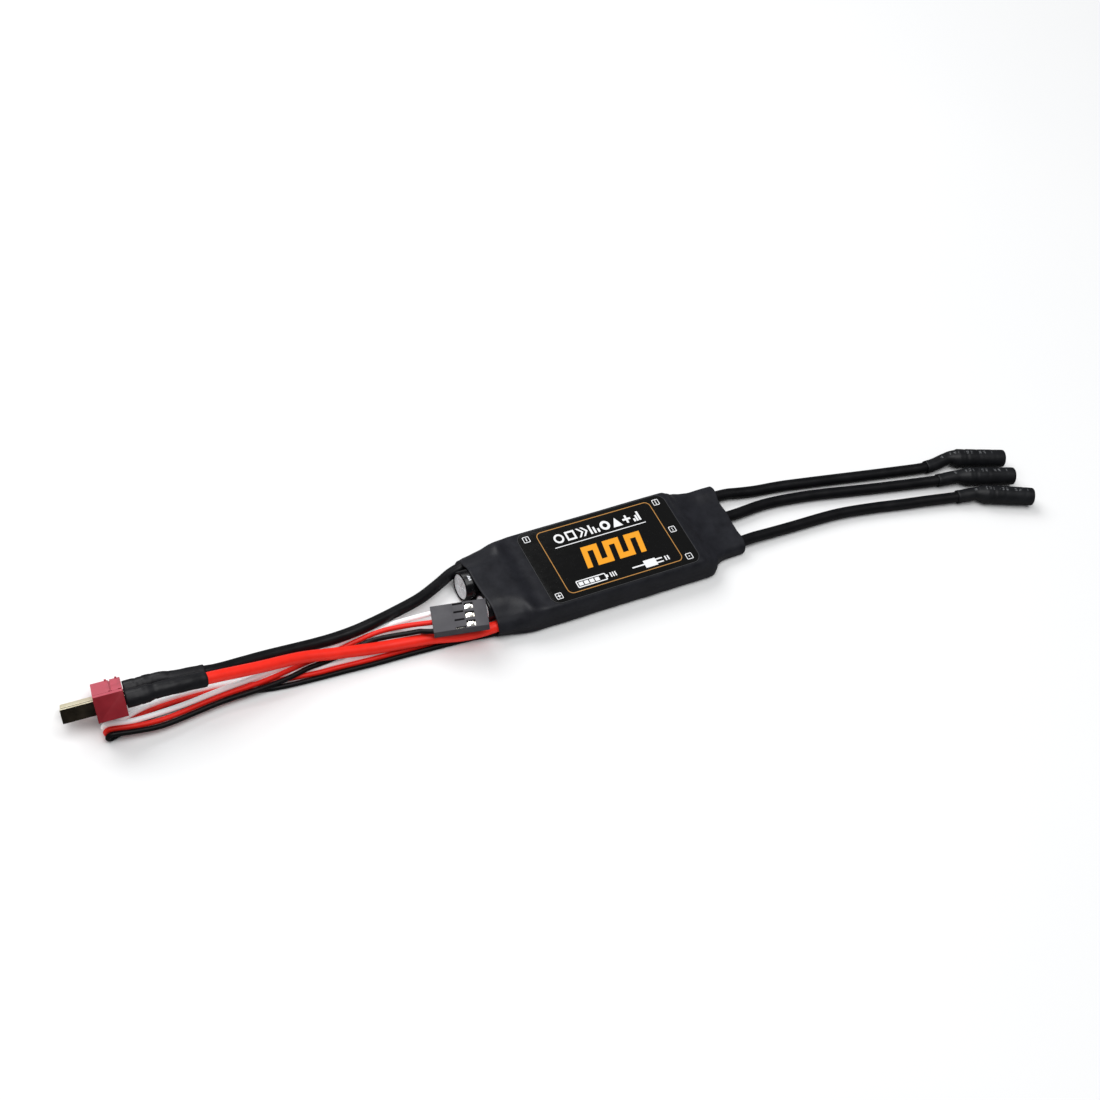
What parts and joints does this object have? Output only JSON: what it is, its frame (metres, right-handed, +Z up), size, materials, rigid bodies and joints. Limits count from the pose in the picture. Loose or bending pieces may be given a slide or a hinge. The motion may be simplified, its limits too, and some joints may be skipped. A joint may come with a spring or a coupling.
{
  "type": "electronic speed controller",
  "caption": "Flat sleeved brushless motor speed controller with a two blade battery plug, motor leads ending in bullet sockets and a servo lead.",
  "frame": {"origin": "on the flat underside of the sleeve, below the middle of the label", "axes": "+X along the body towards the motor leads, +Z up out of the label, +Y across towards motor lead C"},
  "size_m": [0.2804, 0.036, 0.0153],
  "materials": {
    "sleeve_shrink": "black heat shrink, softly glossy",
    "label": "black printed film with orange and white marks",
    "heat_plate": "cut sheet",
    "thermal_pad": "soft grey-blue gap filler",
    "circuit_board": "green solder mask",
    "chip": "moulded black epoxy",
    "resonator": "metal can",
    "ceramic": "tan ceramic",
    "tin": "tinned copper and solder",
    "can": "bright drawn can",
    "capacitor_sleeve": "black printed sleeve",
    "bung": "black rubber",
    "red_silicone": "red wire insulation",
    "black_silicone": "black wire insulation",
    "red_jacket": "red thin-wall jacket",
    "white_jacket": "white thin-wall jacket",
    "black_jacket": "black thin-wall jacket",
    "end_shrink": "black heat shrink",
    "gold": "gold plated",
    "plug_nylon": "dark red moulded nylon",
    "servo_nylon": "dark grey moulded nylon"
  },
  "bodies": {
    "housing": {"heat_shrink_sleeve": "sleeve_shrink", "label_film": "label", "heat_plate": "heat_plate", "thermal_pad": "thermal_pad", "power_board": "circuit_board", "control_board": "circuit_board", "board_pins": "gold", "mosfets": "chip", "microcontroller": "chip", "gate_drivers": "chip", "voltage_regulators": "chip", "resonator": "resonator", "ceramic_capacitors": "ceramic", "resistors": "chip", "solder_joints": "tin", "capacitor_cans": "can", "capacitor_sleeves": "capacitor_sleeve", "capacitor_bungs": "bung", "capacitor_leads": "tin", "negative_wire_root": "black_silicone", "positive_wire_root": "red_silicone", "battery_wire_ends": "tin", "motor_wire_roots": "black_silicone", "motor_wire_ends": "tin", "servo_wire_white": "white_jacket", "servo_wire_red": "red_jacket", "servo_wire_black": "black_jacket", "servo_wire_ends": "tin"},
    "battery_lead": {"negative_wire": "black_silicone", "positive_wire": "red_silicone", "battery_plug_housing": "plug_nylon", "positive_blade": "gold", "negative_blade": "gold", "plug_wire_ends": "tin", "negative_plug_sleeve": "end_shrink", "positive_plug_sleeve": "end_shrink"},
    "servo_plug": {"servo_tail_white": "white_jacket", "servo_tail_red": "red_jacket", "servo_tail_black": "black_jacket", "servo_plug_housing": "servo_nylon", "servo_contacts": "gold"},
    "motor_lead_a": {"motor_wire_a": "black_silicone", "bullet_wire_end_a": "tin", "bullet_socket_a": "gold", "bullet_sleeve_a": "end_shrink"},
    "motor_lead_b": {"motor_wire_b": "black_silicone", "bullet_wire_end_b": "tin", "bullet_socket_b": "gold", "bullet_sleeve_b": "end_shrink"},
    "motor_lead_c": {"motor_wire_c": "black_silicone", "bullet_wire_end_c": "tin", "bullet_socket_c": "gold", "bullet_sleeve_c": "end_shrink"}
  },
  "joints": [
    {"name": "battery_lead_lift", "type": "hinge", "parent": "housing", "child": "battery_lead", "pos_m": [-0.066, -0.002, 0.00295], "axis": [0, 1, 0], "range_deg": [0, 50]},
    {"name": "servo_plug_lift", "type": "hinge", "parent": "housing", "child": "servo_plug", "pos_m": [-0.0575, -0.0035, 0.00505], "axis": [0, -1, 0], "range_deg": [0, 60]},
    {"name": "motor_lead_a_lift", "type": "hinge", "parent": "housing", "child": "motor_lead_a", "pos_m": [0.044, -0.00615, 0.0019], "axis": [0, -1, 0], "range_deg": [0, 60]},
    {"name": "motor_lead_b_lift", "type": "hinge", "parent": "housing", "child": "motor_lead_b", "pos_m": [0.044, 0.0024, 0.0019], "axis": [0, -1, 0], "range_deg": [0, 60]},
    {"name": "motor_lead_c_lift", "type": "hinge", "parent": "housing", "child": "motor_lead_c", "pos_m": [0.044, 0.0093, 0.0019], "axis": [0, -1, 0], "range_deg": [0, 60]}
  ]
}
